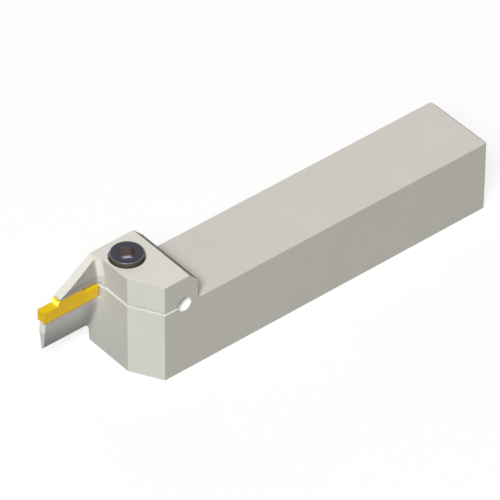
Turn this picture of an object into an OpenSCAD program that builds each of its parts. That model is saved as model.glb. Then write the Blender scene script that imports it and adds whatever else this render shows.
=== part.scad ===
// Turning tool holder for face grooving, with a clamped double-ended insert.
// X runs along the shank with the cutting end at minus X, Y across it, Z up.
// The origin is the middle of the underside of the shank, behind the head.

/* [Shank] */
// Length of the whole tool, from the cutting edge to the rear face
overall_len = 150; // [110:5:200]
// Width of the shank
shank_w = 25; // [20:1:32]
// Height of the shank, which is also the height of the cutting edge
shank_h = 25; // [22:1:32]
// Chamfer round the rear face
rear_chamfer = 1.2; // [0.4:0.1:3]

/* [Head] */
// Length of the head, from its front face to the step
head_len = 18; // [17:0.5:24]
// Height of the head above the shank
head_rise = 10; // [9:0.5:14]
// How far the foot of the head stands out past the left side of the shank
head_bulge = 3; // [2.6:0.1:4.5]
// Width of the slanted corner at the right of the front face
corner_w = 10; // [4:0.5:12]
// Angle of that corner from the front face
corner_angle = 30; // [15:1:40]
// Chamfer along the top rear edge of the head
shoulder_chamfer = 3; // [1:0.1:4]
// Fillet at the foot of the step
step_fillet = 1.3; // [0.5:0.1:2]

/* [Blade] */
// How far the cutting edge stands in front of the head
blade_reach = 20.8; // [20.6:0.1:24]
// Radius of the convex right side, which clears the outer wall of the groove
outer_radius = 37; // [34:1:60]
// Radius of the concave left side, which clears the inner wall of the groove
inner_radius = 62; // [52:1:75]
// Half the height of the flat on the right side of the jaw
flat_half = 4; // [3:0.1:5]
// Depth of the lowest edge of the blade below the cutting edge
blade_depth = 19; // [14:0.5:20]
// Angle of the underside of the blade, across its width
under_angle = 45; // [30:1:50]
// Depth below the cutting edge at which the front edge starts to slope back
break_depth = 9; // [6:0.1:11]
// Slope of the lower front edge from the vertical
break_slope = 13.5; // [5:0.5:25]
// Fillet where the blade and the jaw grow out of the head
root_fillet = 2.5; // [1.5:0.1:3]
// Fillet under the blade
under_fillet = 1.8; // [1:0.1:2.2]
// How far the blade and the jaw stay inside the right side of the insert
right_clear = 0.1; // [0.05:0.01:0.3]
// How far the blade and the jaw stay inside the left side of the insert
left_clear = 0.05; // [0.02:0.01:0.07]

/* [Insert] */
// Width of the cutting edge
insert_w = 3; // [2.6:0.1:4]
// Length of the insert
insert_len = 20; // [18:0.1:20]
// Height of the insert under its cutting edge
insert_h = 3.93; // [3.4:0.01:4.4]
// Length of the flat land behind each cutting edge
land_len = 5; // [3:0.1:6]
// Length of the ramp that rises from the land
ramp_len = 0.8; // [0.4:0.1:1.5]
// Height of the raised middle above the land
raised_h = 1.7; // [1.4:0.05:2]
// Depth of the clamping groove along the top
top_groove = 0.5; // [0.3:0.05:0.6]
// Depth of the locating groove along the underside
under_groove = 0.42; // [0.3:0.01:0.6]
// How far the left end of the cutting edge stands out past the shank
insert_out = 0.08; // [0.08:0.01:0.5]
// How far the cutting edge stands in front of the blade
insert_overhang = 0.9; // [0.5:0.1:2]

/* [Clamp] */
// Slope of the top of the jaw from the horizontal
jaw_angle = 30; // [26:1:32]
// How far the level top of the jaw runs in front of the head
jaw_lead = 0.95; // [0.5:0.05:3]
// Distance from the cutting edge back to the nose of the jaw
jaw_setback = 6.2; // [6:0.1:8]
// Thickness of the clamping slot
slot_t = 1.2; // [0.8:0.1:1.5]
// Height of the middle of the slot above the cutting edge
slot_up = 0.15; // [0:0.05:0.3]
// Diameter of the hole that ends the slot, so that the jaw can flex
relief_d = 5; // [4:0.1:6]
// Distance from the step to the middle of that hole
relief_back = 5.1; // [4.5:0.1:6]
// Height of the middle of that hole above the cutting edge
relief_up = 0.35; // [0:0.05:0.5]

/* [Screw] */
// Thread diameter of the clamp screw
screw_d = 6; // [5:0.5:6]
// Length of the screw under its head
screw_len = 20; // [12:1:20]
// Diameter of the screw head
screw_head_d = 10; // [8.5:0.1:10]
// Distance across the flats of the hex socket
socket_af = 5; // [4:0.5:5]
// Depth of the hex socket
socket_depth = 3.4; // [2:0.1:3.5]
// How far the screw head stands above the head of the holder
screw_proud = 1.4; // [0.5:0.1:2.5]
// Distance from the front face of the head to the screw
screw_back = 6.4; // [6.2:0.1:7.5]
// Distance from the left side of the shank in to the screw
screw_in = 7; // [6.5:0.1:8.5]

/* [Hidden] */
$fn = 96;
over = 1;

// Shank and head
side_y = shank_w / 2;
foot_y = side_y + head_bulge;
rear_x = (overall_len - head_len - blade_reach) / 2;
step_x = -rear_x;
front_x = step_x - head_len;
corner_x = front_x + corner_w * tan(corner_angle);
edge_z = shank_h;
top_z = shank_h + head_rise;

// Insert, with its cutting edge at the height of the shank
tip_x = front_x - blade_reach;
heel_x = tip_x + insert_len;
left_y = side_y + insert_out;
insert_y = left_y - insert_w / 2;
insert_low = edge_z - insert_h;
crest_z = edge_z + raised_h;
heel_slope = 0.22;
heel_cut = 0.6;
heel_rise = 1.1;

// Seat of the insert, a hair clear of it, with room behind and under its heel
seat_fit = 0.02;
heel_room = 0.35;
heel_relief = 0.3;
heel_relief_len = 2.8;
pocket_x = heel_x + heel_room;

// Blade and jaw, whose sides are arcs about the axis of the groove
blade_x = tip_x + insert_overhang;
flat_y = left_y - insert_w + right_clear;
blade_arc_y = flat_y + outer_radius;
jaw_arc_y = flat_y + sqrt(pow(outer_radius, 2) - pow(flat_half, 2));
inner_arc_y = left_y - left_clear + inner_radius;
blade_low = edge_z - blade_depth;
break_z = edge_z - break_depth;
break_run = (break_z - blade_low) * tan(break_slope);
under_run = 2;
jaw_x = tip_x + jaw_setback;
jaw_top_x = front_x - jaw_lead;
nose_z = top_z - (jaw_top_x - jaw_x) * tan(jaw_angle);

// Slot
slot_z = edge_z + slot_up;
relief_x = step_x - relief_back;
relief_z = edge_z + relief_up;

// Screw, whose head sits in a counterbore
screw_x = front_x + screw_back;
screw_y = side_y - screw_in;
head_h = screw_d;
head_z = top_z + screw_proud - head_h;
tip_z = head_z - screw_len;
rim_chamfer = 0.3;
tip_chamfer = 0.8;
running_fit = 0.05;
pass_room = 0.3;
bore_room = 0.6;
bore_z = head_z - seat_fit;
drill_room = 1.5;
drill_point = 59;
drill_web = 0.3;

// Fills a square inner corner at the origin up to a radius, and sinks into both walls
module corner_fill(radius, sink) {
    difference() {
        translate([-sink, -sink]) square(radius + sink);
        translate([radius, radius]) circle(radius);
    }
}

// Bar along X between two ends, whose YZ outline is the child
module bar_x(x0, x1) {
    translate([x0, 0, 0]) rotate([90, 0, 90]) linear_extrude(x1 - x0) children();
}

// Slab across Y between two sides, whose XZ outline is the child
module slab_y(y0, y1) {
    translate([0, y1, 0]) rotate([90, 0, 0]) linear_extrude(y1 - y0) children();
}

// Shank, with all four edges of its rear face chamfered
module shank() {
    c = rear_chamfer;
    start_x = step_x - over;
    intersection() {
        linear_extrude(shank_h)
            polygon([[start_x, -side_y], [rear_x - c, -side_y], [rear_x, c - side_y],
                     [rear_x, side_y - c], [rear_x - c, side_y], [start_x, side_y]]);
        slab_y(-side_y, side_y)
            polygon([[start_x, 0], [rear_x - c, 0], [rear_x, c],
                     [rear_x, shank_h - c], [rear_x - c, shank_h], [start_x, shank_h]]);
    }
}

// Everything to the left of the concave side
module inner_room() {
    translate([step_x + over, inner_arc_y, edge_z]) rotate([0, -90, 0])
        cylinder(r = inner_radius, h = head_len + blade_reach + 2 * over);
}

// Head, with its slanted corner and with its left foot run out to the shank
module head_block() {
    c = shoulder_chamfer;
    difference() {
        intersection() {
            linear_extrude(top_z)
                polygon([[corner_x, -side_y], [front_x, corner_w - side_y], [front_x, foot_y],
                         [step_x - head_bulge, foot_y], [step_x, side_y], [step_x, -side_y]]);
            slab_y(-side_y, foot_y)
                polygon([[front_x, 0], [step_x, 0], [step_x, top_z - c],
                         [step_x - c, top_z], [front_x, top_z]]);
        }
        inner_room();
    }
}

// Fillet at the foot of the step
module step_foot() {
    slab_y(-side_y, side_y) translate([step_x, shank_h]) corner_fill(step_fillet, over);
}

// Outline of blade and jaw from the side, before the seat is cut
module nose_outline() {
    polygon([[blade_x, edge_z], [blade_x, break_z], [blade_x + break_run, blade_low],
             [blade_x + break_run, 0], [front_x + over, 0], [front_x + over, top_z],
             [jaw_top_x, top_z], [jaw_x, nose_z], [jaw_x, edge_z]]);
}

// Section of the room turned away beside blade and jaw: wall, floor and the fillet between
module turned_section(radius) {
    translate([radius, 0]) difference() {
        square([shank_h, blade_reach + over]);
        corner_fill(root_fillet, over);
    }
}

// That room swept through a quarter turn about an axis along X
module turned_sweep(axis_y, start) {
    translate([front_x, axis_y, edge_z]) rotate([0, -90, 0]) rotate([0, 0, start])
        rotate_extrude(angle = 90, $fn = 180) turned_section(outer_radius);
}

// Whole of the turned room: an arc below, a flat and an arc above
module turned_room() {
    turned_sweep(blade_arc_y, 180);
    turned_sweep(jaw_arc_y, 270);
    translate([front_x, flat_y, edge_z]) linear_extrude(head_rise + over)
        rotate(-90) mirror([0, 1]) turned_section(0);
}

// Everything below the slanted underside of the blade, in front of the corner of the foot
module under_room() {
    lean = root_fillet + over;
    rise = lean * tan(under_angle);
    intersection() {
        bar_x(tip_x, front_x)
            polygon([[foot_y + over, blade_low - over * tan(under_angle)], [foot_y + over, -over],
                     [foot_y - lean, -over], [foot_y - lean, blade_low + rise]]);
        translate([0, 0, -over]) linear_extrude(edge_z)
            polygon([[front_x, foot_y], [front_x - lean, foot_y - lean], [tip_x, foot_y - lean],
                     [tip_x, foot_y + over], [front_x, foot_y + over]]);
    }
}

// Fillet along the slanted underside of the blade
module under_blade_fillet() {
    intersection() {
        translate([front_x, foot_y, blade_low]) rotate([-under_angle, 0, 0])
            slab_y(-under_run, 2 * over) rotate(180) corner_fill(under_fillet, over / 2);
        slab_y(flat_y, foot_y) translate([tip_x, 0]) square([blade_reach + over, edge_z]);
    }
}

// Everything above the slanted top of the jaw
module jaw_top_room() {
    translate([jaw_top_x, -side_y, top_z]) rotate([0, -jaw_angle, 0])
        translate([-2 * blade_reach, 0, 0])
            cube([2 * blade_reach, side_y + foot_y, head_rise + blade_reach]);
}

// Blade that reaches into the groove and jaw above it, both grown out of the head
module nose() {
    difference() {
        union() {
            difference() {
                slab_y(flat_y - root_fillet - over, foot_y) nose_outline();
                turned_room();
                under_room();
            }
            under_blade_fillet();
        }
        inner_room();
        jaw_top_room();
    }
}

// Seat of the insert: a ridged floor, a keel above and room at the heel
module insert_seat() {
    floor_z = insert_low + under_groove - seat_fit;
    keel_z = crest_z - top_groove + seat_fit;
    bar_x(tip_x - over, pocket_x) translate([insert_y, 0])
        polygon([[-insert_w, floor_z - 2 * under_groove], [0, floor_z],
                 [insert_w, floor_z - 2 * under_groove], [insert_w, keel_z + 2 * top_groove],
                 [0, keel_z], [-insert_w, keel_z + 2 * top_groove]]);
    translate([heel_x - heel_relief_len, insert_y - insert_w, insert_low - heel_relief])
        cube([heel_relief_len + heel_room, 2 * insert_w, insert_h + heel_relief]);
}

// Slot under the jaw, with the hole that lets it flex
module clamping_slot() {
    slab_y(-foot_y, foot_y + over) translate([pocket_x - over, slot_z - slot_t / 2])
        square([relief_x - pocket_x + over, slot_t]);
    slab_y(-foot_y, foot_y + over) translate([relief_x, relief_z]) circle(d = relief_d);
}

// Counterbore, clearance hole and tapped hole of the clamp screw
module screw_holes() {
    tap_r = screw_d / 2 + running_fit;
    drill_z = tip_z - drill_room;
    point_h = (tap_r - drill_web) / tan(drill_point);
    translate([screw_x, screw_y, 0]) {
        translate([0, 0, bore_z]) cylinder(d = screw_head_d + 2 * bore_room, h = head_h + over);
        translate([0, 0, slot_z]) cylinder(r = screw_d / 2 + pass_room, h = bore_z - slot_z + over);
        translate([0, 0, drill_z]) cylinder(r = tap_r, h = slot_z - drill_z);
        translate([0, 0, drill_z - point_h]) cylinder(r1 = drill_web, r2 = tap_r, h = point_h);
    }
}

module holder_body() {
    color([0.72, 0.71, 0.68]) difference() {
        union() {
            shank();
            head_block();
            step_foot();
            nose();
        }
        insert_seat();
        clamping_slot();
        screw_holes();
    }
}

// Cap screw, turned in one profile and broached with a hexagon
module clamp_screw() {
    head_top = head_z + head_h;
    head_r = screw_head_d / 2;
    screw_r = screw_d / 2;
    color([0.16, 0.15, 0.17]) translate([screw_x, screw_y, 0]) difference() {
        rotate_extrude()
            polygon([[0, tip_z], [screw_r - tip_chamfer, tip_z], [screw_r, tip_z + tip_chamfer],
                     [screw_r, head_z], [head_r - rim_chamfer, head_z], [head_r, head_z + rim_chamfer],
                     [head_r, head_top - rim_chamfer], [head_r - rim_chamfer, head_top], [0, head_top]]);
        translate([0, 0, head_top - socket_depth]) rotate(30)
            cylinder(d = socket_af / cos(30), h = socket_depth + over, $fn = 6);
    }
}

// Insert with two cutting ends, a raised middle and a groove above and below
module cutting_insert() {
    half_w = insert_w / 2;
    ramp_top = land_len + ramp_len;
    color([0.85, 0.68, 0.18]) intersection() {
        slab_y(insert_y - half_w, insert_y + half_w)
            polygon([[tip_x, insert_low], [tip_x, edge_z], [tip_x + land_len, edge_z],
                     [tip_x + ramp_top, crest_z], [heel_x - ramp_top, crest_z],
                     [heel_x - land_len, edge_z], [heel_x, edge_z],
                     [heel_x - heel_slope, insert_low + heel_rise], [heel_x - heel_cut, insert_low]]);
        bar_x(tip_x - over, heel_x + over) translate([insert_y, 0])
            polygon([[-half_w, insert_low], [0, insert_low + under_groove], [half_w, insert_low],
                     [half_w, crest_z], [0, crest_z - top_groove], [-half_w, crest_z]]);
    }
}

holder_body();
clamp_screw();
cutting_insert();
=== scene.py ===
"""Turning tool holder for face grooving: its finishes, its clamp screw, the studio and the camera.

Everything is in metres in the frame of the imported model: X along the shank, with the cutting
edge at minus X, Y across it and Z up. Sizes are written in millimetres, which MM turns into
metres.
"""

import logging
import math
from dataclasses import dataclass
from enum import Enum, IntEnum

import bmesh
import bpy
from mathutils import Matrix, Vector


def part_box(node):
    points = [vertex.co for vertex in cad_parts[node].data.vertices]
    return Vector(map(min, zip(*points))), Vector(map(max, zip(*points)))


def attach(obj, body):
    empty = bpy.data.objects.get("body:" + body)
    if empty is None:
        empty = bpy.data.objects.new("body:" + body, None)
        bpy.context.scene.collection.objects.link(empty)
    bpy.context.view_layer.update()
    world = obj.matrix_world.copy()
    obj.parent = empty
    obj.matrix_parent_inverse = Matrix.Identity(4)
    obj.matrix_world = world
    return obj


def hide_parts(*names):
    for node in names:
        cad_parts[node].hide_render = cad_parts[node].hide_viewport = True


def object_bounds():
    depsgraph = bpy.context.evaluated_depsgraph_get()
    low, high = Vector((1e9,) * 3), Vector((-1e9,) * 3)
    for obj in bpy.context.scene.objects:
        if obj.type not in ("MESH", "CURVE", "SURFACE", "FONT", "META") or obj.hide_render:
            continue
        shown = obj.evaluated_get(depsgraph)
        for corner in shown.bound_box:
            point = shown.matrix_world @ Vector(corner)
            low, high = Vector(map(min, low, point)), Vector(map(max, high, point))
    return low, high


MM = 0.001
LOG = logging.getLogger("turning_tool_holder")

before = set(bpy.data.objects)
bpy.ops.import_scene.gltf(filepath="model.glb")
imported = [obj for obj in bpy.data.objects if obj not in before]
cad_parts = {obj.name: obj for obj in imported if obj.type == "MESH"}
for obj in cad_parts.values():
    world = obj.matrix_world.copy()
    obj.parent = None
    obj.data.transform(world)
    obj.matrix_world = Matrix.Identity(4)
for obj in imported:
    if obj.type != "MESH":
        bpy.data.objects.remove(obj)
CAD_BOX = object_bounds()

Colour = tuple[float, float, float, float]
Point = tuple[float, float, float]
Span = tuple[float, float]
Tree = bpy.types.NodeTree
Node = bpy.types.Node
Socket = bpy.types.NodeSocket

NOISE = {"From Min": 0.3, "From Max": 0.7}  # where nearly all values of a noise lie
TWO_NOISES = {"From Min": 0.6, "From Max": 1.4}  # the same for the sum of two
WAVE_TURNS = 20.0  # radians that a wave texture turns through over one unit at a scale of 1


def linear(hex_code: str) -> Colour:
    """Turns an sRGB hex colour into the linear colour that a shader takes.

    Args:
        hex_code: The colour as "#RRGGBB".

    Returns:
        Linear red, green and blue, and an alpha of 1.
    """
    shares = [int(hex_code[i:i + 2], 16) / 255 for i in (1, 3, 5)]
    curve = [s / 12.92 if s <= 0.04045 else ((s + 0.055) / 1.055) ** 2.4 for s in shares]
    return (curve[0], curve[1], curve[2], 1.0)


def find(sockets: bpy.types.bpy_prop_collection, key: str) -> Socket:
    """Finds one of a node's sockets.

    Args:
        sockets: The node's inputs or outputs.
        key: The socket's identifier, or its name with underscores for spaces.

    Returns:
        The socket.
    """
    for socket in sockets:
        if socket.identifier == key:
            return socket
    return sockets[key.replace("_", " ")]


def add_node(tree: Tree, kind: str, settings: dict | None = None, **links: Socket) -> Node:
    """Adds one shader node with its settings and links.

    Args:
        tree: The node tree that takes the node.
        kind: The node's type, such as "ShaderNodeTexNoise".
        settings: Values by the name of a property of the node, or else of one of its inputs.
        links: Output sockets to link from, by the input's identifier or name, as for find.

    Returns:
        The new node.
    """
    node = tree.nodes.new(kind)
    for name, value in (settings or {}).items():
        if hasattr(node, name):
            setattr(node, name, value)
        else:
            find(node.inputs, name).default_value = value
    for name, socket in links.items():
        tree.links.new(socket, find(node.inputs, name))
    return node


def new_material(name: str) -> tuple[bpy.types.Material, Tree, Node]:
    """Makes an empty node material with its output.

    Args:
        name: The material's name.

    Returns:
        The material, its node tree and its output node.
    """
    material = bpy.data.materials.new(name)
    material.use_nodes = True
    tree = material.node_tree
    tree.nodes.clear()
    return material, tree, tree.nodes.new("ShaderNodeOutputMaterial")


def shown_rays(tree: Tree) -> Socket:
    """Adds a test that is 1 for camera, transmission and glossy rays, and 0 for the rest.

    Args:
        tree: The node tree that takes the test.

    Returns:
        The socket that gives the answer.
    """
    path = add_node(tree, "ShaderNodeLightPath")
    clear = add_node(tree, "ShaderNodeMath", {"operation": "MAXIMUM"},
                     Value=path.outputs["Is Camera Ray"],
                     Value_001=path.outputs["Is Transmission Ray"])
    shown = add_node(tree, "ShaderNodeMath", {"operation": "MAXIMUM"},
                     Value=clear.outputs[0], Value_001=path.outputs["Is Glossy Ray"])
    return shown.outputs[0]


def towards(azimuth_deg: float, elevation_deg: float) -> Vector:
    """Gives the direction from the tool to where a lamp or the camera stands.

    Args:
        azimuth_deg: Turn about Z, from minus Y towards plus X.
        elevation_deg: Rise above the floor.

    Returns:
        The direction, one long.
    """
    turn, rise = math.radians(azimuth_deg), math.radians(elevation_deg)
    return Vector((math.sin(turn) * math.cos(rise), -math.cos(turn) * math.cos(rise),
                   math.sin(rise)))


@dataclass(frozen=True)
class Layout:
    """Places on the tool that its finishes follow, in millimetres."""

    tip_x: float = -94.4  # cutting edge
    blade_x: float = -93.5  # front end of blade and jaw
    front_x: float = -73.6  # front of the head
    step_x: float = -55.6  # rear of the head
    rear_x: float = 55.6  # rear end of the shank
    right_y: float = -12.5  # right side of shank and head
    left_y: float = 15.5  # left side of the head at its foot
    jaw_y: float = 9.6  # right side of insert and jaw
    under_z: float = 6.0  # lowest edge of the blade
    seat_z: float = 21.5  # seat of the insert
    slot_floor_z: float = 24.55  # floor of the slot under the jaw
    edge_z: float = 25.0  # cutting edge and top of the shank
    top_z: float = 35.0  # top of the head
    hole_x: float = -60.7  # relief hole at the end of the slot
    hole_z: float = 25.35
    hole_radius: float = 2.5
    screw_x: float = -67.2  # axis of the clamp screw
    screw_y: float = 5.5
    bore_radius: float = 5.6  # counterbore of the clamp screw
    chamfer: float = 3.0  # of the head's top rear edge
    rear_chamfer: float = 1.2  # round the rear end
    flat: float = 4.0  # height above the cutting edge of the flat on the jaw's right side
    blade_end: float = 4.0  # room for the blade's front end, which slopes back at its foot
    skin: float = 0.1  # how far a patch reaches past the face that it covers
    beyond: float = 10.0  # how far a patch that fades reaches past the tool, to be full on it
    foot_drop: float = 4.5  # from the insert's seat down to where the blade's painted shade starts
    root_length: float = 9.0  # of the blade next to the head, which gets painted shade
    root_rise: float = 2.0  # from the insert's seat up to where that painted shade has faded out
    margin: float = 1.0  # how far a patch reaches past the insert
    land_rise: float = 3.0  # room for the insert's raised middle above the cutting edge
    ramp: Span = (4.0, 7.0)  # room for the chip-breaking ramp behind the cutting edge
    ramp_rise: float = 2.0  # room for that ramp above the cutting edge
    rear_half: float = 10.0  # from the cutting edge to the insert's rear half
    end_drop: float = 5.0  # from the cutting edge to below the insert


@dataclass(frozen=True)
class ScrewLayout:
    """Places on the clamp screw that its finishes follow, in millimetres.

    They are measured from its axis, and in height from the underside of the shank.
    """

    corner: float = 2.95  # just past the corners of the socket
    wall: float = 2.0  # just inside the flats of the socket
    socket_z: Span = (32.9, 36.35)  # socket below its mouth
    head: float = 5.5  # just past the head
    rim_z: Span = (36.0, 36.5)  # rounded rim and top of the head


TOOL = Layout()
SCREW = ScrewLayout()


class Facing(Enum):
    """Slopes that a patch can keep to: a direction, and how strictly it is kept to."""

    ANY = (0.0, 0.0, 0.0), -1.0
    LEVEL = (0.0, 0.0, 1.0), 0.9
    NEARLY_LEVEL = (0.0, 0.0, 1.0), 0.8
    FRONT = (-1.0, 0.0, 0.0), 0.98
    END_WALL = (-1.0, 0.0, 0.0), 0.9
    BLADE_END = (-1.0, 0.0, 0.0), 0.85
    JAW_FLANK = (0.0, -1.0, 0.0), 0.97, 0.15
    BLADE_FLANK = (0.0, -1.0, 0.0), 0.88, 0.12
    FILLET = (-0.707, -0.707, 0.0), 0.6
    CORNER = (-0.866, -0.5, 0.0), 0.98
    JAW_SLANT = (-0.5, 0.0, 0.866), 0.95
    CHAMFER = (0.707, 0.0, 0.707), 0.9
    HOLE_FOOT = (-0.6, 0.0, 0.8), 0.05
    SOCKET_LEFT = (0.5, -0.866, 0.0), 0.9
    INSERT_RAMP = (-0.905, 0.0, 0.426), 0.9

    def __init__(self, direction: Point, least_cosine: float, turn: float = 0.03) -> None:
        """Keeps what makes up the slope.

        Args:
            direction: The direction that its surface faces, or zero for any.
            least_cosine: Least cosine between that direction and the surface at full strength.
            turn: How much less cosine it takes to fade to nothing, on a surface that curves away.
        """
        self.direction = direction
        self.least_cosine = least_cosine
        self.turn = turn


@dataclass(frozen=True)
class Patch:
    """A stretch of surface with a tone of its own: inside a box, and facing one way.

    Most patches paint light and shade, a face lighter or darker by its place and slope.

    Attributes:
        name: What the patch covers.
        x_mm: Its box along X.
        y_mm: Its box along Y.
        z_mm: Its box along Z.
        tone: Its colour as "#RRGGBB".
        facing: The slope that it keeps to.
        fade_mm: Distance over which it fades in from the sides of its box.
    """

    name: str
    x_mm: Span
    y_mm: Span
    z_mm: Span
    tone: str
    facing: Facing = Facing.ANY
    fade_mm: float = 0.002

    def lay_over(self, tree: Tree, place: Node, base: Socket) -> Socket:
        """Mixes the patch over a colour.

        Args:
            tree: The material's node tree.
            place: Its texture coordinate node.
            base: The colour outside the patch.

        Returns:
            The colour with the patch.
        """
        low, high = (Vector(corner) * MM for corner in zip(self.x_mm, self.y_mm, self.z_mm))
        offset = add_node(tree, "ShaderNodeVectorMath",
                          {"operation": "SUBTRACT", "Vector_001": (low + high) / 2},
                          Vector=place.outputs["Object"])
        away = add_node(tree, "ShaderNodeVectorMath", {"operation": "ABSOLUTE"},
                        Vector=offset.outputs[0])
        depth = add_node(tree, "ShaderNodeVectorMath",
                         {"operation": "SUBTRACT", "Vector": (high - low) / 2},
                         Vector_001=away.outputs[0])
        sides = add_node(tree, "ShaderNodeSeparateXYZ", None, Vector=depth.outputs[0])
        least = add_node(tree, "ShaderNodeMath", {"operation": "MINIMUM"},
                         Value=sides.outputs["X"], Value_001=sides.outputs["Y"])
        inward = add_node(tree, "ShaderNodeMath", {"operation": "MINIMUM"},
                          Value=least.outputs[0], Value_001=sides.outputs["Z"])
        inside = add_node(tree, "ShaderNodeMapRange",
                          {"interpolation_type": "SMOOTHSTEP", "From Max": self.fade_mm * MM},
                          Value=inward.outputs[0])
        cosine = add_node(tree, "ShaderNodeVectorMath",
                          {"operation": "DOT_PRODUCT", "Vector_001": self.facing.direction},
                          Vector=place.outputs["Normal"])
        faces = add_node(tree, "ShaderNodeMapRange",
                         {"interpolation_type": "SMOOTHSTEP",
                          "From Min": self.facing.least_cosine - self.facing.turn,
                          "From Max": self.facing.least_cosine},
                         Value=cosine.outputs["Value"])
        cover = add_node(tree, "ShaderNodeMath", {"operation": "MULTIPLY"},
                         Value=inside.outputs[0], Value_001=faces.outputs[0])
        mix = add_node(tree, "ShaderNodeMix",
                       {"label": self.name, "data_type": "RGBA", "B_Color": linear(self.tone)},
                       Factor=cover.outputs[0], A_Color=base)
        return find(mix.outputs, "Result_Color")


def lay_patches(tree: Tree, place: Node, base: Socket, patches: tuple[Patch, ...]) -> Socket:
    """Lays patches over a colour, each over the ones before it.

    Args:
        tree: The material's node tree.
        place: Its texture coordinate node.
        base: The colour outside the patches.
        patches: The patches in order.

    Returns:
        The colour with the patches.
    """
    for patch in patches:
        base = patch.lay_over(tree, place, base)
    return base


def about(middle: float, reach: float = 0.0) -> Span:
    """Gives the span that reaches as far to both sides of a place, and a skin further."""
    return (middle - reach - TOOL.skin, middle + reach + TOOL.skin)


WIDTH: Span = (TOOL.right_y, TOOL.left_y)
WIDTH_AND_BEYOND: Span = (TOOL.right_y, TOOL.left_y + TOOL.beyond)
BLADE: Span = (TOOL.blade_x, TOOL.front_x)
STEEL_PATCHES = (
    # a darker, pinker tone on the shank's top than on the head's
    Patch("shank_top_tone", (TOOL.step_x - TOOL.skin, TOOL.rear_x), WIDTH, about(TOOL.edge_z),
          "#CFCAC2", Facing.LEVEL),
    # painted light: a lighter tone on the head's upward faces
    Patch("head_top_painted_light", (TOOL.blade_x, TOOL.step_x), WIDTH, about(TOOL.top_z),
          "#D9D7CD", Facing.LEVEL),
    # painted light: a lighter tone on the jaw's slanted face, which is turned to the key
    Patch("jaw_slant", BLADE, (TOOL.jaw_y - TOOL.skin, TOOL.left_y),
          (TOOL.edge_z, TOOL.top_z + TOOL.skin), "#DAD8CE", Facing.JAW_SLANT),
    # painted light and shade on the fillets: lighter on the jaw's, darker beside its flat and on
    # the blade
    Patch("jaw_fillet", BLADE, WIDTH, (TOOL.edge_z + TOOL.flat, TOOL.top_z),
          "#DBD9D0", Facing.FILLET),
    Patch("jaw_flat_fillet", BLADE, WIDTH, (TOOL.edge_z, TOOL.edge_z + TOOL.flat),
          "#CAC9C3", Facing.FILLET),
    Patch("blade_fillet", BLADE, WIDTH, (-TOOL.skin, TOOL.edge_z), "#C9C8C0", Facing.FILLET),
    # painted light: a lighter tone on the corner face, which is turned to the key
    Patch("corner", (TOOL.front_x - TOOL.skin, TOOL.step_x),
          (TOOL.right_y - TOOL.skin, TOOL.jaw_y), (-TOOL.skin, TOOL.top_z),
          "#D5D6CA", Facing.CORNER),
    # painted shade: a darker tone on the head's front
    Patch("front", about(TOOL.front_x), WIDTH, (-TOOL.skin, TOOL.top_z),
          "#C8C8C0", Facing.FRONT),
    # painted shade: a much darker tone on the jaw's right side and on its flat
    Patch("jaw_flank", BLADE, WIDTH, (TOOL.edge_z, TOOL.top_z), "#A6A49D", Facing.JAW_FLANK),
    Patch("jaw_flat", BLADE, WIDTH, (TOOL.edge_z, TOOL.edge_z + TOOL.flat),
          "#A19E98", Facing.JAW_FLANK),
    # painted light: a slightly lighter, cooler tone on the blade's right side
    Patch("blade_flank", (TOOL.blade_x - TOOL.skin, TOOL.front_x), WIDTH,
          (TOOL.under_z - TOOL.skin, TOOL.seat_z), "#D6D3CF", Facing.BLADE_FLANK),
    # painted shade: the blade's right side fades darker towards its foot
    Patch("blade_foot", (TOOL.blade_x - TOOL.beyond, TOOL.front_x + TOOL.beyond),
          WIDTH_AND_BEYOND, (TOOL.under_z - TOOL.beyond, TOOL.seat_z - TOOL.foot_drop),
          "#C0BDB9", Facing.BLADE_FLANK, fade_mm=9.0),
    # painted shade: the blade's right side fades darker next to the head
    Patch("blade_root", (TOOL.front_x - TOOL.root_length, TOOL.front_x + TOOL.beyond),
          WIDTH_AND_BEYOND, (TOOL.under_z - TOOL.beyond, TOOL.seat_z + TOOL.root_rise),
          "#B5B2AE", Facing.BLADE_FLANK, fade_mm=7.0),
    # painted light: a near-white tone on the blade's front end
    Patch("blade_front", (TOOL.blade_x - TOOL.skin, TOOL.blade_x + TOOL.blade_end), WIDTH,
          (TOOL.under_z - TOOL.skin, TOOL.edge_z), "#F7F4EE", Facing.BLADE_END),
    # painted shade: dark tones on the chamfers that face away from the key
    Patch("shoulder_chamfer",
          (TOOL.step_x - TOOL.chamfer - TOOL.skin, TOOL.step_x + TOOL.skin), WIDTH,
          (TOOL.top_z - TOOL.chamfer - TOOL.skin, TOOL.top_z), "#74736D", Facing.CHAMFER),
    Patch("rear_chamfer",
          (TOOL.rear_x - TOOL.rear_chamfer - TOOL.skin, TOOL.rear_x + TOOL.skin), WIDTH,
          (TOOL.edge_z - TOOL.rear_chamfer - TOOL.skin, TOOL.edge_z + TOOL.skin),
          "#74736D", Facing.CHAMFER),
    # painted light: a lighter floor in the slot, where shade falls
    Patch("slot_floor", (TOOL.blade_x, TOOL.hole_x), WIDTH, about(TOOL.slot_floor_z),
          "#E8E7E2", Facing.LEVEL),
    # painted highlight: white on the lower wall of the relief hole
    Patch("relief_hole", about(TOOL.hole_x, TOOL.hole_radius), WIDTH,
          about(TOOL.hole_z, TOOL.hole_radius), "#FFFFFF", Facing.HOLE_FOOT),
    # painted light: white on the counterbore's wall, which lies in the screw head's shade
    Patch("counterbore", about(TOOL.screw_x, TOOL.bore_radius),
          about(TOOL.screw_y, TOOL.bore_radius),
          (TOOL.edge_z + TOOL.skin, TOOL.top_z - TOOL.skin), "#FFFFFF"),
)


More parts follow.
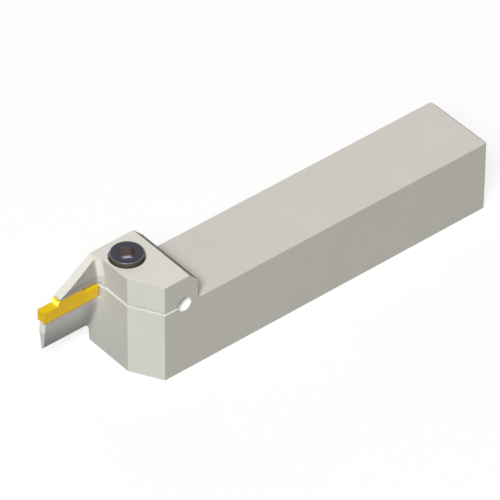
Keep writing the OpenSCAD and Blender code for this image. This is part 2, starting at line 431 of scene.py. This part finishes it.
@dataclass(frozen=True)
class SatinNickelSteel:
    """Tool steel, surface-ground and then plated with satin nickel.

    The plating scatters most of the light and mirrors only part of it, so the eye gets even,
    warm grey faces, with painted light and shade on them by place and slope. Grinding leaves
    fine lines along the tool.
    """

    name: str = "satin_nickel_plated_steel"
    plating: str = "#D4D2C7"
    patches: tuple[Patch, ...] = STEEL_PATCHES
    metallic: float = 0.04
    roughness: float = 0.6
    uneven: float = 0.05  # how far the roughness varies
    specular: float = 0.18
    line_pitch_mm: float = 0.35  # real wheel marks are near 0.05, too fine to show here
    line_length_mm: float = 30.0
    line_depth_mm: float = 0.002
    line_bump: float = 0.6
    cloud_mm: float = 14.0
    shade: float = 0.025  # how far the tone varies
    end_slope: float = 0.8  # how far a face looks along X to be an end face

    def build(self) -> bpy.types.Material:
        """Builds the material: grinding lines along X, drawn across the end faces along Z.

        Returns:
            The material.
        """
        material, tree, output = new_material(self.name)
        place = add_node(tree, "ShaderNodeTexCoord")
        fine, coarse = 1 / (self.line_pitch_mm * MM), 1 / (self.line_length_mm * MM)
        along = add_node(tree, "ShaderNodeMapping", {"Scale": (coarse, fine, fine)},
                         Vector=place.outputs["Object"])
        upright = add_node(tree, "ShaderNodeMapping", {"Scale": (fine, fine, coarse)},
                           Vector=place.outputs["Object"])
        normal = add_node(tree, "ShaderNodeSeparateXYZ", None, Vector=place.outputs["Normal"])
        slope = add_node(tree, "ShaderNodeMath", {"operation": "ABSOLUTE"},
                         Value=normal.outputs["X"])
        is_end = add_node(tree, "ShaderNodeMath",
                          {"operation": "GREATER_THAN", "Value_001": self.end_slope},
                          Value=slope.outputs[0])
        way = add_node(tree, "ShaderNodeMix", {"data_type": "VECTOR"}, Factor=is_end.outputs[0],
                       A_Vector=along.outputs[0], B_Vector=upright.outputs[0])
        lines = add_node(tree, "ShaderNodeTexNoise",
                         {"Scale": 1.0, "Detail": 3.0, "Roughness": 0.6},
                         Vector=find(way.outputs, "Result_Vector"))
        clouds = add_node(tree, "ShaderNodeTexNoise",
                          {"Scale": 1 / (self.cloud_mm * MM), "Detail": 2.0},
                          Vector=place.outputs["Object"])
        tone = add_node(tree, "ShaderNodeMath", {"operation": "ADD"},
                        Value=lines.outputs[0], Value_001=clouds.outputs[0])
        shade = add_node(tree, "ShaderNodeMapRange",
                         {**TWO_NOISES, "To Min": 1 - self.shade, "To Max": 1 + self.shade},
                         Value=tone.outputs[0])
        plain = add_node(tree, "ShaderNodeRGB")
        plain.outputs[0].default_value = linear(self.plating)
        # the plating with the patches' painted light and shade over it
        plated = lay_patches(tree, place, plain.outputs[0], self.patches)
        colour = add_node(tree, "ShaderNodeVectorMath", {"operation": "SCALE"},
                          Vector=plated, Scale=shade.outputs[0])
        rough = add_node(tree, "ShaderNodeMapRange",
                         {**NOISE, "To Min": self.roughness - self.uneven,
                          "To Max": self.roughness + self.uneven},
                         Value=lines.outputs[0])
        bump = add_node(tree, "ShaderNodeBump",
                        {"Strength": self.line_bump, "Distance": self.line_depth_mm * MM},
                        Height=lines.outputs[0])
        shader = add_node(tree, "ShaderNodeBsdfPrincipled",
                          {"Metallic": self.metallic, "Specular IOR Level": self.specular},
                          Base_Color=colour.outputs[0], Roughness=rough.outputs[0],
                          Normal=bump.outputs[0])
        tree.links.new(shader.outputs[0], output.inputs["Surface"])
        return material


INSIDE_SOCKET: Span = (-SCREW.corner, SCREW.corner)
SOCKET_PATCHES = (
    # painted light: a lighter brown on the socket's walls, inside the recess
    Patch("socket_walls", INSIDE_SOCKET, INSIDE_SOCKET, SCREW.socket_z, "#675B54"),
    # painted shade: a darker brown on the socket's far wall
    Patch("socket_far_wall", (SCREW.wall, SCREW.corner), INSIDE_SOCKET, SCREW.socket_z,
          "#524A44", Facing.END_WALL),
    # painted light: a lit violet grey on the socket's left wall
    Patch("socket_left_wall", (-SCREW.corner, 0.0), (0.0, SCREW.corner), SCREW.socket_z,
          "#9692AC", Facing.SOCKET_LEFT),
)


@dataclass(frozen=True)
class BlackOxideSteel:
    """Alloy steel of a cap screw, turned and broached, then blackened in hot salts.

    The thin oxide is nearly black. A painted reflection gives the top a violet cast and the flank
    a brown one, and patches paint light and shade on the walls of the socket.
    violet cast, and thinner on the flank and in the socket, which look brown.
    """

    name: str = "black_oxide_steel"
    # the oxide's own near-black, with a painted reflection: violet on the top, brown on the flank
    top_oxide_and_reflection: str = "#383643"
    side_oxide_and_reflection: str = "#544B45"
    patches: tuple[Patch, ...] = SOCKET_PATCHES
    metallic: float = 0.2
    roughness: float = 0.34
    uneven: float = 0.06  # how far the roughness varies
    specular: float = 0.1
    mottle_mm: float = 1.6
    shade: float = 0.06  # how far the tone varies
    grain_mm: float = 0.12  # real grain is near 0.03, too fine to show here
    grain_depth_mm: float = 0.002
    grain_bump: float = 0.5
    flank_rise: float = 0.3  # how far up a face may look and still have all of the side's cast
    top_rise: float = 0.8  # how far up it has to look for all of the top's cast

    def build(self) -> bpy.types.Material:
        """Builds the material: a painted reflection that follows the slope, over a fine grain.

        Returns:
            The material.
        """
        material, tree, output = new_material(self.name)
        place = add_node(tree, "ShaderNodeTexCoord")
        mottle = add_node(tree, "ShaderNodeTexNoise",
                          {"Scale": 1 / (self.mottle_mm * MM), "Detail": 4.0},
                          Vector=place.outputs["Object"])
        grain = add_node(tree, "ShaderNodeTexNoise",
                         {"Scale": 1 / (self.grain_mm * MM), "Detail": 2.0},
                         Vector=place.outputs["Object"])
        normal = add_node(tree, "ShaderNodeSeparateXYZ", None, Vector=place.outputs["Normal"])
        upward = add_node(tree, "ShaderNodeMapRange",
                          {"From Min": self.flank_rise, "From Max": self.top_rise},
                          Value=normal.outputs["Z"])
        # painted reflection: violet on faces that look up, brown on the flank
        cast = add_node(tree, "ShaderNodeMix",
                        {"data_type": "RGBA", "A_Color": linear(self.side_oxide_and_reflection),
                         "B_Color": linear(self.top_oxide_and_reflection)},
                        Factor=upward.outputs[0])
        # the oxide with the socket's painted light and shade over it
        blackened = lay_patches(tree, place, find(cast.outputs, "Result_Color"), self.patches)
        shade = add_node(tree, "ShaderNodeMapRange",
                         {**NOISE, "To Min": 1 - self.shade, "To Max": 1 + self.shade},
                         Value=mottle.outputs[0])
        colour = add_node(tree, "ShaderNodeVectorMath", {"operation": "SCALE"},
                          Vector=blackened, Scale=shade.outputs[0])
        rough = add_node(tree, "ShaderNodeMapRange",
                         {**NOISE, "To Min": self.roughness - self.uneven,
                          "To Max": self.roughness + self.uneven},
                         Value=mottle.outputs[0])
        bump = add_node(tree, "ShaderNodeBump",
                        {"Strength": self.grain_bump, "Distance": self.grain_depth_mm * MM},
                        Height=grain.outputs[0])
        shader = add_node(tree, "ShaderNodeBsdfPrincipled",
                          {"Metallic": self.metallic, "Specular IOR Level": self.specular},
                          Base_Color=colour.outputs[0], Roughness=rough.outputs[0],
                          Normal=bump.outputs[0])
        tree.links.new(shader.outputs[0], output.inputs["Surface"])
        return material


@dataclass(frozen=True)
class BrightSteel:
    """Bright steel on the rim of the screw and the foot of its socket.

    On the rim it is partly wear and partly a painted highlight, and on the socket's foot it is a
    painted reflection. Rings left by the drill and by wear give the eye a bright, slightly cold
    metal.
    """

    name: str = "bright_steel_and_painted_highlight"
    steel: str = "#A7A7B0"
    patches: tuple[Patch, ...] = (
        # a dimmer tone for the painted highlight on the rim
        Patch("rim_painted_highlight", (-SCREW.head, SCREW.head), (-SCREW.head, SCREW.head), SCREW.rim_z,
              "#80808B"),
    )
    metallic: float = 0.5
    roughness: float = 0.32
    ring_pitch_mm: float = 1.005  # real drill rings are near 0.03, too fine to show here
    ring_waver: float = 0.6
    ring_depth_mm: float = 0.002
    ring_bump: float = 0.4
    ring_shade: Span = (0.92, 1.05)

    def build(self) -> bpy.types.Material:
        """Builds the material: rings about the screw's axis.

        Returns:
            The material.
        """
        material, tree, output = new_material(self.name)
        place = add_node(tree, "ShaderNodeTexCoord")
        turns = 2 * math.pi / (self.ring_pitch_mm * MM)
        rings = add_node(tree, "ShaderNodeTexWave",
                         {"wave_type": "RINGS", "rings_direction": "Z",
                          "Scale": turns / WAVE_TURNS, "Distortion": self.ring_waver},
                         Vector=place.outputs["Object"])
        shade = add_node(tree, "ShaderNodeMapRange",
                         {"To Min": self.ring_shade[0], "To Max": self.ring_shade[1]},
                         Value=rings.outputs["Fac"])
        plain = add_node(tree, "ShaderNodeRGB")
        plain.outputs[0].default_value = linear(self.steel)
        # the steel with a dimmer tone for the painted highlight on the rim
        worn = lay_patches(tree, place, plain.outputs[0], self.patches)
        colour = add_node(tree, "ShaderNodeVectorMath", {"operation": "SCALE"},
                          Vector=worn, Scale=shade.outputs[0])
        bump = add_node(tree, "ShaderNodeBump",
                        {"Strength": self.ring_bump, "Distance": self.ring_depth_mm * MM},
                        Height=rings.outputs["Fac"])
        shader = add_node(tree, "ShaderNodeBsdfPrincipled",
                          {"Metallic": self.metallic, "Roughness": self.roughness},
                          Base_Color=colour.outputs[0], Normal=bump.outputs[0])
        tree.links.new(shader.outputs[0], output.inputs["Surface"])
        return material


INSERT_WIDTH: Span = (TOOL.jaw_y - TOOL.margin, TOOL.left_y)
INSERT_TOP: Span = (TOOL.edge_z - TOOL.margin, TOOL.edge_z + TOOL.land_rise)
INSERT_PATCHES = (
    # painted light and shade: a tone of their own for the insert's upward lands
    Patch("top_lands", (TOOL.tip_x - TOOL.margin, TOOL.front_x + TOOL.margin), INSERT_WIDTH,
          INSERT_TOP, "#DDBB00", Facing.NEARLY_LEVEL),
    # painted light: a lighter gold on the rear land, in the jaw's shade
    Patch("rear_land", (TOOL.tip_x + TOOL.rear_half, TOOL.front_x + TOOL.margin), INSERT_WIDTH,
          INSERT_TOP, "#E2C316", Facing.NEARLY_LEVEL),
    # painted light: a tone of its own on the insert's front end
    Patch("front_end", (TOOL.tip_x - TOOL.margin, TOOL.tip_x + TOOL.margin), INSERT_WIDTH,
          (TOOL.edge_z - TOOL.end_drop, TOOL.edge_z + TOOL.margin), "#F5C500", Facing.END_WALL),
    # painted highlight: pale yellow on the chip-breaking ramp
    Patch("front_ramp", (TOOL.tip_x + TOOL.ramp[0], TOOL.tip_x + TOOL.ramp[1]), INSERT_WIDTH,
          (TOOL.edge_z - TOOL.margin, TOOL.edge_z + TOOL.ramp_rise),
          "#FFF66C", Facing.INSERT_RAMP),
)


@dataclass(frozen=True)
class GoldNitrideCarbide:
    """Cemented carbide, ground on its flanks and coated with a gold titanium nitride.

    The hard coating follows the ground surface, so the eye gets a bright yellow gold with fine
    lines along the flanks. Patches paint light and shade by slope, with a painted highlight on
    the chip-breaking ramp.
    """

    name: str = "gold_nitride_coated_carbide"
    coating: str = "#F5C72E"
    patches: tuple[Patch, ...] = INSERT_PATCHES
    metallic: float = 0.06
    roughness: float = 0.4
    specular: float = 0.1
    line_pitch_mm: float = 0.2  # real grinding marks are near 0.02, too fine to show here
    line_length_mm: float = 6.0
    line_depth_mm: float = 0.001
    line_bump: float = 0.5
    cloud_mm: float = 2.5
    shade: float = 0.03  # how far the tone varies

    def build(self) -> bpy.types.Material:
        """Builds the material: ground lines along the insert under a cloudy coating.

        Returns:
            The material.
        """
        material, tree, output = new_material(self.name)
        place = add_node(tree, "ShaderNodeTexCoord")
        fine, coarse = 1 / (self.line_pitch_mm * MM), 1 / (self.line_length_mm * MM)
        along = add_node(tree, "ShaderNodeMapping", {"Scale": (coarse, fine, fine)},
                         Vector=place.outputs["Object"])
        lines = add_node(tree, "ShaderNodeTexNoise", {"Scale": 1.0, "Detail": 2.0},
                         Vector=along.outputs[0])
        clouds = add_node(tree, "ShaderNodeTexNoise",
                          {"Scale": 1 / (self.cloud_mm * MM), "Detail": 2.0},
                          Vector=place.outputs["Object"])
        tone = add_node(tree, "ShaderNodeMath", {"operation": "ADD"},
                        Value=lines.outputs[0], Value_001=clouds.outputs[0])
        shade = add_node(tree, "ShaderNodeMapRange",
                         {**TWO_NOISES, "To Min": 1 - self.shade, "To Max": 1 + self.shade},
                         Value=tone.outputs[0])
        plain = add_node(tree, "ShaderNodeRGB")
        plain.outputs[0].default_value = linear(self.coating)
        # the coating with the patches' painted light and shade over it
        coated = lay_patches(tree, place, plain.outputs[0], self.patches)
        colour = add_node(tree, "ShaderNodeVectorMath", {"operation": "SCALE"},
                          Vector=coated, Scale=shade.outputs[0])
        bump = add_node(tree, "ShaderNodeBump",
                        {"Strength": self.line_bump, "Distance": self.line_depth_mm * MM},
                        Height=lines.outputs[0])
        shader = add_node(tree, "ShaderNodeBsdfPrincipled",
                          {"Metallic": self.metallic, "Roughness": self.roughness,
                           "Specular IOR Level": self.specular},
                          Base_Color=colour.outputs[0], Normal=bump.outputs[0])
        tree.links.new(shader.outputs[0], output.inputs["Surface"])
        return material


@dataclass(frozen=True)
class PaintedFloor:
    """Matt white paint of a studio floor.

    It gives the eye an even white. Camera, glossy and transmission rays see most of it as plain
    white, so that it doesn't grey off into the distance, and the rest keeps the shadow. The light
    that it throws back at the tool is held down, so that the tool's sides keep their tone.
    """

    name: str = "matt_white_floor_paint"
    paint: str = "#FFFFFF"
    thrown_back: str = "#303030"  # the paint for light on its way back to the tool
    plain_share: float = 0.8  # of plain white, for rays that show the floor

    def build(self) -> bpy.types.Material:
        """Builds the material: matt paint, mixed with plain white for rays that show it.

        Returns:
            The material.
        """
        material, tree, output = new_material(self.name)
        plain = add_node(tree, "ShaderNodeEmission",
                         {"Color": linear(self.paint), "Strength": 1.0})
        shown = shown_rays(tree)
        share = add_node(tree, "ShaderNodeMath",
                         {"operation": "MULTIPLY", "Value_001": self.plain_share}, Value=shown)
        tone = add_node(tree, "ShaderNodeMix",
                        {"data_type": "RGBA", "A_Color": linear(self.thrown_back),
                         "B_Color": linear(self.paint)},
                        Factor=shown)
        matt = add_node(tree, "ShaderNodeBsdfDiffuse", None,
                        Color=find(tone.outputs, "Result_Color"))
        mix = add_node(tree, "ShaderNodeMixShader", None, Fac=share.outputs[0],
                       Shader=matt.outputs[0], Shader_001=plain.outputs[0])
        tree.links.new(mix.outputs[0], output.inputs["Surface"])
        material.cycles.emission_sampling = "NONE"  # it shows white, but isn't a lamp
        return material


class Slot(Enum):
    """The record's material slots."""

    HOLDER_STEEL = "holder_steel"
    SCREW_STEEL = "screw_steel"
    COATED_CARBIDE = "coated_carbide"


class ScrewFinish(IntEnum):
    """The screw's finishes, by their place on its mesh."""

    OXIDE = 0
    BRIGHT = 1


def dress(piece: bpy.types.Object, *materials: bpy.types.Material) -> None:
    """Puts materials on a piece in place of what it has.

    Args:
        piece: The object to dress.
        materials: One material for each of its material slots.
    """
    if piece.data.materials:
        piece.data.materials.clear()
    for material in materials:
        piece.data.materials.append(material)


@dataclass(frozen=True)
class CrispEdges:
    """Shading of a piece: milled edges stay crisp, turned faces stay smooth.

    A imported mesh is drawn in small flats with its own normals. A modifier joins its doubled
    points and shades it anew, without moving a point.
    """

    sharp_over_deg: float = 5.0
    doubled_mm: float = 0.0005  # points as close as this are one

    def put_on(self, piece: bpy.types.Object) -> None:
        """Adds the modifier to a piece.

        Args:
            piece: The object to shade.
        """
        tree = bpy.data.node_groups.new("crisp_edges", "GeometryNodeTree")
        tree.interface.new_socket("Geometry", in_out="INPUT", socket_type="NodeSocketGeometry")
        tree.interface.new_socket("Geometry", in_out="OUTPUT", socket_type="NodeSocketGeometry")
        entry = add_node(tree, "NodeGroupInput")
        joined = add_node(tree, "GeometryNodeMergeByDistance", {"Distance": self.doubled_mm * MM},
                          Geometry=entry.outputs[0])
        angle = add_node(tree, "GeometryNodeInputMeshEdgeAngle")
        sharp = add_node(tree, "FunctionNodeCompare",
                         {"operation": "GREATER_THAN", "B": math.radians(self.sharp_over_deg)},
                         A=angle.outputs["Unsigned Angle"])
        shaded = add_node(tree, "GeometryNodeSetMeshNormal",
                          {"mode": "SHARPNESS", "Remove Custom": True, "Face Sharpness": False},
                          Mesh=joined.outputs[0], Edge_Sharpness=sharp.outputs[0])
        output = add_node(tree, "NodeGroupOutput")
        tree.links.new(shaded.outputs[0], output.inputs[0])
        piece.modifiers.new("crisp_edges", "NODES").node_group = tree


@dataclass
class HolderBody:
    """Shank, head, blade and jaw, milled from one bar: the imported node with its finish."""

    node: str = "holder_body"
    finish: SatinNickelSteel = SatinNickelSteel()

    def build(self) -> bpy.types.Object:
        """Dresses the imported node.

        Returns:
            The node's object.
        """
        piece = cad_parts[self.node]
        CrispEdges().put_on(piece)
        dress(piece, self.finish.build())
        return piece


@dataclass
class CuttingInsert:
    """Double-ended grooving insert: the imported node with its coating."""

    node: str = "cutting_insert"
    finish: GoldNitrideCarbide = GoldNitrideCarbide()

    def build(self) -> bpy.types.Object:
        """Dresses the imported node.

        Returns:
            The node's object.
        """
        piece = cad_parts[self.node]
        CrispEdges().put_on(piece)
        dress(piece, self.finish.build())
        return piece


@dataclass
class ClampScrew:
    """M6 cap screw with a hex socket, turned in rings about its axis, with a real thread."""

    node: str = "clamp_screw"
    body: str = "screw"
    oxide: BlackOxideSteel = BlackOxideSteel()
    bright: BrightSteel = BrightSteel()
    thread_d_mm: float = 6.0
    pitch_mm: float = 1.0
    thread_depth_share: float = 0.6134  # of the pitch, as on any metric thread
    flank_steepness: float = 2.6  # thread depths that a flank would rise over a pitch
    flank_shift: float = 0.16  # thread depths below the root where the flanks would meet
    head_height_mm: float = 6.0
    head_foot_mm: float = 0.15  # chamfer under the head
    neck_mm: float = 1.0  # plain length under the head
    neck_fillet_mm: float = 0.25
    socket_af_mm: float = 5.0  # across the flats
    socket_depth_mm: float = 3.4
    socket_mouth_mm: float = 0.06  # chamfer of the mouth
    drill_d_mm: float = 4.6
    drill_cone_mm: float = 1.2
    rim_mm: float = 0.13  # radius of the rounded rim
    rim_steps: int = 4
    tip_cone_mm: float = 0.8
    centre_mm: float = 0.05  # radius of the small flats that close the mesh
    steps_round: int = 96
    steps_a_pitch: int = 12
    sharp_over_deg: float = 25.0

    def turned(self, mesh: bmesh.types.BMesh, z: float,
               radii: list[float]) -> list[bmesh.types.BMVert]:
        """Adds one ring of points about the axis.

        Args:
            mesh: The mesh under construction.
            z: Height of the ring.
            radii: Distance from the axis for each step round it.

        Returns:
            The ring's points.
        """
        count = len(radii)
        turns = [2 * math.pi * i / count for i in range(count)]
        return [mesh.verts.new((radius * math.cos(turn), radius * math.sin(turn), z))
                for radius, turn in zip(radii, turns)]

    def ring(self, mesh: bmesh.types.BMesh, z: float,
             radius: float) -> list[bmesh.types.BMVert]:
        """Adds a circle of points at a height."""
        return self.turned(mesh, z, [radius] * self.steps_round)

    def hexagon(self, mesh: bmesh.types.BMesh, z: float,
                across: float) -> list[bmesh.types.BMVert]:
        """Adds a hexagon of points, with flats towards plus and minus X.

        Args:
            mesh: The mesh under construction.
            z: Height of the hexagon.
            across: Its size across the flats.

        Returns:
            The hexagon's points.
        """
        side = math.pi / 3
        turns = [2 * math.pi * i / self.steps_round for i in range(self.steps_round)]
        off_flat = [(turn + side / 2) % side - side / 2 for turn in turns]
        return self.turned(mesh, z, [across / 2 / math.cos(turn) for turn in off_flat])

    def thread_ring(self, mesh: bmesh.types.BMesh, z: float, top: float,
                    low: float) -> list[bmesh.types.BMVert]:
        """Adds one ring of the thread, whose groove goes once round in each pitch.

        The groove runs out over one pitch towards the head.

        Args:
            mesh: The mesh under construction.
            z: Height of the ring.
            top: Height at which the thread ends under the head.
            low: Height of the screw's tip.

        Returns:
            The ring's points.
        """
        pitch, crest = self.pitch_mm * MM, self.thread_d_mm * MM / 2
        depth = self.thread_depth_share * pitch * min(1.0, max(0.0, (top - z) / pitch))
        cone = crest - self.tip_cone_mm * MM + (z - low)
        radii = []
        for i in range(self.steps_round):
            phase = (z / pitch - i / self.steps_round) % 1.0
            height = abs(phase - 0.5) * self.flank_steepness - self.flank_shift
            radii.append(min(crest - depth * (1 - min(1.0, max(0.0, height))), cone))
        return self.turned(mesh, z, radii)

    def build(self) -> bpy.types.Object:
        """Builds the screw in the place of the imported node, which it stands for.

        Returns:
            The screw's object.
        """
        lowest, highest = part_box(self.node)
        head, neck = (highest.x - lowest.x) / 2, self.thread_d_mm * MM / 2
        top, low = highest.z, lowest.z
        seat = top - self.head_height_mm * MM
        rim, foot, fillet = self.rim_mm * MM, self.head_foot_mm * MM, self.neck_fillet_mm * MM
        across, floor = self.socket_af_mm * MM, top - self.socket_depth_mm * MM
        mouth = self.socket_mouth_mm * MM
        mesh = bmesh.new()
        rings = [self.ring(mesh, floor - self.drill_cone_mm * MM, self.centre_mm * MM),
                 self.ring(mesh, floor, self.drill_d_mm * MM / 2),
                 self.hexagon(mesh, floor, across)]
        socket_foot = len(rings) - 1
        rings += [self.hexagon(mesh, top - mouth, across),
                  self.hexagon(mesh, top, across + 2 * mouth)]
        rim_start = len(rings)
        for step in range(self.rim_steps + 1):
            angle = math.pi / 2 * (1 - step / self.rim_steps)
            rings.append(self.ring(mesh, top - rim + rim * math.sin(angle),
                                   head - rim + rim * math.cos(angle)))
        rim_end = len(rings) - 1
        rings += [self.ring(mesh, seat + foot, head), self.ring(mesh, seat, head - foot),
                  self.ring(mesh, seat, neck + fillet), self.ring(mesh, seat - fillet, neck)]
        run_top = seat - self.neck_mm * MM
        count = round((run_top - low) / (self.pitch_mm * MM / self.steps_a_pitch))
        for step in range(count + 1):
            rings.append(self.thread_ring(mesh, run_top - (run_top - low) * step / count,
                                          run_top, low))
        rings.append(self.ring(mesh, low, self.centre_mm * MM))
        for place, (upper, lower) in enumerate(zip(rings, rings[1:])):
            # bright steel on the rim, partly wear and partly a painted highlight, and on the
            # socket's foot, a painted reflection
            bright_steel_faces = place < socket_foot or rim_start <= place < rim_end
            for i in range(self.steps_round):
                j = (i + 1) % self.steps_round
                face = mesh.faces.new((upper[i], lower[i], lower[j], upper[j]))
                face.material_index = ScrewFinish.BRIGHT if bright_steel_faces else ScrewFinish.OXIDE
        mesh.faces.new(rings[0]).material_index = ScrewFinish.BRIGHT
        mesh.faces.new(rings[-1])
        bmesh.ops.recalc_face_normals(mesh, faces=mesh.faces)
        data = bpy.data.meshes.new("cap_screw_m6")
        mesh.to_mesh(data)
        mesh.free()
        piece = bpy.data.objects.new("cap_screw_m6", data)
        piece.location = ((lowest.x + highest.x) / 2, (lowest.y + highest.y) / 2, 0)
        bpy.context.scene.collection.objects.link(piece)
        CrispEdges(self.sharp_over_deg).put_on(piece)
        dress(piece, self.oxide.build(), self.bright.build())
        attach(piece, self.body)
        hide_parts(self.node)
        return piece


@dataclass(frozen=True)
class Softbox:
    """One square area lamp, aimed at the middle of the tool.

    Its level is how bright a matt white face turned to it gets from it alone, where 1 is white.
    """

    name: str
    azimuth_deg: float
    elevation_deg: float
    distance_mm: float
    width_mm: float
    level: float

    def build(self, aim: Vector) -> bpy.types.Object:
        """Hangs the lamp.

        Args:
            aim: The point that it is aimed at.

        Returns:
            The lamp's object.
        """
        away = towards(self.azimuth_deg, self.elevation_deg)
        lamp = bpy.data.lights.new(self.name, "AREA")
        lamp.shape = "SQUARE"
        lamp.size = self.width_mm * MM
        lamp.energy = self.level * (math.pi * self.distance_mm * MM) ** 2
        piece = bpy.data.objects.new(self.name, lamp)
        bpy.context.scene.collection.objects.link(piece)
        piece.location = aim + away * self.distance_mm * MM
        piece.rotation_euler = away.to_track_quat("Z", "Y").to_euler()
        return piece


@dataclass
class Studio:
    """White floor, soft lamps and a plain white room."""

    floor_width_mm: float = 6000.0
    floor_gap_mm: float = 0.02  # between floor and tool, whose faces would else coincide
    room: str = "#FFFFFF"
    room_level: float = 0.03  # of the room as a light, where 1 is the white that shows
    softboxes: tuple[Softbox, ...] = (
        Softbox("key_softbox", azimuth_deg=-50.0, elevation_deg=45.0, distance_mm=5000.0,
                width_mm=1750.0, level=1.18),
        Softbox("back_softbox", azimuth_deg=165.0, elevation_deg=12.0, distance_mm=2000.0,
                width_mm=1200.0, level=0.2),
        Softbox("top_softbox", azimuth_deg=140.0, elevation_deg=42.0, distance_mm=2000.0,
                width_mm=1200.0, level=0.1),
        Softbox("low_softbox", azimuth_deg=-75.0, elevation_deg=15.0, distance_mm=3000.0,
                width_mm=900.0, level=0.1),
    )

    def build(self) -> None:
        """Lays the floor, hangs the lamps and lights the room."""
        low, high = CAD_BOX
        aim = (low + high) / 2
        self.lay_floor()
        for softbox in self.softboxes:
            softbox.build(aim)
        self.light_room()

    def lay_floor(self) -> None:
        """Lays the floor that the tool rests on."""
        half = self.floor_width_mm * MM / 2
        data = bpy.data.meshes.new("studio_floor")
        data.from_pydata([(-half, -half, 0), (half, -half, 0), (half, half, 0), (-half, half, 0)],
                         [], [(0, 1, 2, 3)])
        floor = bpy.data.objects.new("studio_floor", data)
        bpy.context.scene.collection.objects.link(floor)
        floor.location.z = CAD_BOX[0].z - self.floor_gap_mm * MM
        dress(floor, PaintedFloor().build())

    def light_room(self) -> None:
        """Sets the world: plain white where it shows, and a low level as light."""
        world = bpy.data.worlds.new("white_room")
        bpy.context.scene.world = world
        world.use_nodes = True
        tree = world.node_tree
        tree.nodes.clear()
        level = add_node(tree, "ShaderNodeMapRange",
                         {"To Min": self.room_level, "To Max": 1.0}, Value=shown_rays(tree))
        room = add_node(tree, "ShaderNodeBackground", {"Color": linear(self.room)},
                        Strength=level.outputs[0])
        world.cycles.sampling_method = "NONE"  # so even a light needs no aimed rays
        output = add_node(tree, "ShaderNodeOutputWorld")
        tree.links.new(room.outputs[0], output.inputs["Surface"])


@dataclass
class PhotoCamera:
    """Camera of the photograph, by what it is aimed at and where it stands."""

    aim_mm: Point = (-20.0, 7.06, 10.68)
    azimuth_deg: float = -39.88
    elevation_deg: float = 40.63
    roll_deg: float = 0.47
    distance_mm: float = 1660.0
    lens_mm: float = 407.45
    sensor_mm: float = 36.0
    clip_mm: Span = (100.0, 20000.0)  # nearest and farthest that it shows

    def build(self) -> bpy.types.Object:
        """Sets up the camera.

        Returns:
            The camera's object, which is the scene's camera.
        """
        back = towards(self.azimuth_deg, self.elevation_deg)
        lens = bpy.data.cameras.new("photo_camera")
        lens.lens = self.lens_mm
        lens.sensor_width = self.sensor_mm
        lens.clip_start, lens.clip_end = (place * MM for place in self.clip_mm)
        camera = bpy.data.objects.new("photo_camera", lens)
        bpy.context.scene.collection.objects.link(camera)
        level = back.to_track_quat("Z", "Y").to_matrix().to_4x4()
        roll = Matrix.Rotation(math.radians(self.roll_deg), 4, "Z")
        place = Vector(self.aim_mm) * MM + back * self.distance_mm * MM
        camera.matrix_world = Matrix.Translation(place) @ level @ roll
        bpy.context.scene.camera = camera
        return camera


def main() -> None:
    """Builds the studio and every piece in order, and reports each one."""
    logging.basicConfig(level=logging.INFO, format="%(name)s: %(message)s")
    bpy.context.scene.view_settings.view_transform = "Standard"
    camera = PhotoCamera().build()
    LOG.info("camera at %s", [round(x, 4) for x in camera.location])
    Studio().build()
    for assembly in (HolderBody(), CuttingInsert(), ClampScrew()):
        piece = assembly.build()
        LOG.info("%s: %d faces", piece.name, len(piece.data.polygons))


if __name__ == "__main__":
    main()
